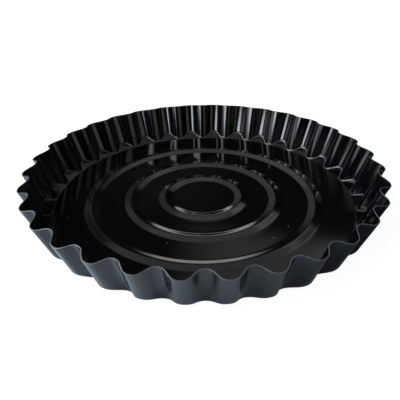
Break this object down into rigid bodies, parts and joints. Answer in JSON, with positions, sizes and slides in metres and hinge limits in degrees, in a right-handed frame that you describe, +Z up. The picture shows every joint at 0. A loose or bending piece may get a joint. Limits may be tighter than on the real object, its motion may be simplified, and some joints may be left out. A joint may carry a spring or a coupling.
{
  "type": "fluted pie pan with a loose base",
  "caption": "Round fluted baking pan for pies and tarts: a flared, fluted steel ring with an in-turned ledge, and a loose beaded base that lifts out of it.",
  "frame": {"origin": "centre of the pan on the plane that it stands on", "axes": "+Z up along the pan's centre line, with the inward fold of a flute on each of +X, -X, +Y and -Y"},
  "size_m": [0.2608, 0.2608, 0.0317],
  "materials": {
    "ring_coating": "black non-stick coating, glossy inside and slate grey satin outside",
    "base_coating": "glossy black non-stick coating"
  },
  "bodies": {
    "ring": {"fluted_ring": "ring_coating"},
    "base": {"loose_base": "base_coating"}
  },
  "joints": [
    {"name": "base_lift", "type": "slide", "parent": "ring", "child": "base", "axis": [0, 0, 1], "range_m": [0, 0.045]}
  ]
}
